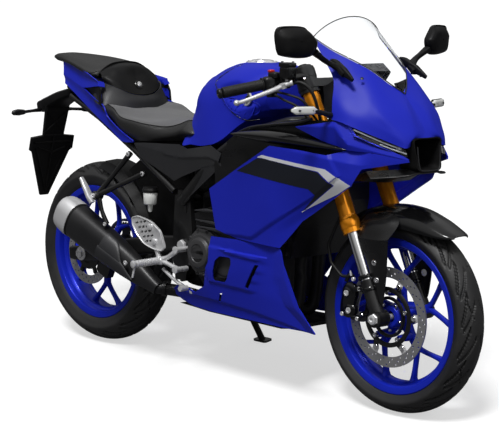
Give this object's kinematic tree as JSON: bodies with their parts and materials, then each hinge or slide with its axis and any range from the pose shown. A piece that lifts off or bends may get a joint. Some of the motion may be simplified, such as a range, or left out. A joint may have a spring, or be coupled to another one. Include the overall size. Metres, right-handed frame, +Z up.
{
  "type": "sport bike",
  "caption": "Small fully faired sport bike parked on its side stand, with turning wheels, steering and folding stand.",
  "frame": {"origin": "middle of the bounding box on the floor, with the bike leaning on its side stand", "axes": "+X forward, +Y to the rider's left, +Z up"},
  "size_m": [2.0696, 0.8047, 1.1888],
  "materials": {
    "body_blue": "glossy deep royal blue paint over moulded plastic",
    "wheel_blue": "satin metallic blue powder coat on cast alloy",
    "tyre_black": "matt tyre rubber with cut grooves",
    "fork_gold": "gold anodised",
    "chrome": "hard chrome, polished",
    "metal_black": "semi-gloss black paint",
    "gloss_black": "glossy black",
    "matte_black": "grained matt black",
    "graphite": "satin dark grey",
    "alloy": "satin alloy, brushed",
    "disc_steel": "ground steel",
    "engine_grey": "dark grey painted castings",
    "exhaust_black": "matt black heat-proof paint",
    "seat_cover": "suede-like dark grey cover with black sides",
    "clear_screen": "clear polished plastic",
    "clear_lens": "clear moulded lens",
    "red_lens": "red moulded lens",
    "milky": "translucent white plastic",
    "grip_rubber": "ribbed black rubber"
  },
  "bodies": {
    "chassis": {"belly_cowl": "body_blue", "belly_pan": "matte_black", "chain": "disc_steel", "engine": "engine_grey", "exhaust": "exhaust_black", "foot_levers": "alloy", "foot_pegs": "alloy", "front_turn_signals": "milky", "fuel_cap": "alloy", "fuel_tank": "body_blue", "headlamps": "clear_lens", "heat_shield": "graphite", "heel_plates": "alloy", "inner_panels": "gloss_black", "intake_duct": "matte_black", "main_frame": "metal_black", "meter": "matte_black", "mirrors": "matte_black", "muffler_cap": "alloy", "pillion_brackets": "metal_black", "pillion_seat": "seat_cover", "plate_holder": "matte_black", "radiator": "engine_grey", "rear_axle": "alloy", "rear_caliper": "metal_black", "rear_hugger": "matte_black", "rear_reservoir": "milky", "rear_shock": "metal_black", "rear_turn_signals": "matte_black", "rider_seat": "seat_cover", "seat_trim": "graphite", "side_covers": "graphite", "side_cowls": "body_blue", "subframe": "metal_black", "swingarm": "metal_black", "tail_cowl": "body_blue", "tail_light": "red_lens", "upper_cowl": "body_blue", "windscreen": "clear_screen"},
    "steering": {"fork_outers": "fork_gold", "fork_inners": "chrome", "fork_lowers": "metal_black", "triple_clamps": "metal_black", "handlebars": "metal_black", "grips": "grip_rubber", "bar_controls": "matte_black", "levers": "alloy", "front_fender": "gloss_black", "front_caliper": "metal_black", "brake_hose": "grip_rubber", "front_axle": "alloy"},
    "front_wheel": {"front_rim": "wheel_blue", "front_tyre": "tyre_black", "front_disc": "disc_steel", "front_disc_carrier": "metal_black"},
    "rear_wheel": {"rear_rim": "wheel_blue", "rear_tyre": "tyre_black", "rear_disc": "disc_steel", "rear_hub_fittings": "metal_black"},
    "side_stand": {"side_stand": "metal_black"}
  },
  "joints": [
    {"name": "steering_turn", "type": "hinge", "parent": "chassis", "child": "steering", "pos_m": [0.837, -0.1555, 0.0008], "axis": [-0.4226, 0.1418, 0.8951], "range_deg": [-22, 22]},
    {"name": "front_wheel_spin", "type": "hinge", "parent": "steering", "child": "front_wheel", "pos_m": [0.742, -0.10966, 0.29019], "axis": [0, 0.9877, -0.1564], "continuous": true},
    {"name": "rear_wheel_spin", "type": "hinge", "parent": "chassis", "child": "rear_wheel", "pos_m": [-0.638, -0.10638, 0.31093], "axis": [0, 0.9877, -0.1564], "continuous": true},
    {"name": "side_stand_fold", "type": "hinge", "parent": "chassis", "child": "side_stand", "pos_m": [-0.153, 0.01222, 0.24153], "axis": [-0.135, 0.9901, 0.0395], "range_deg": [0, 100]}
  ]
}
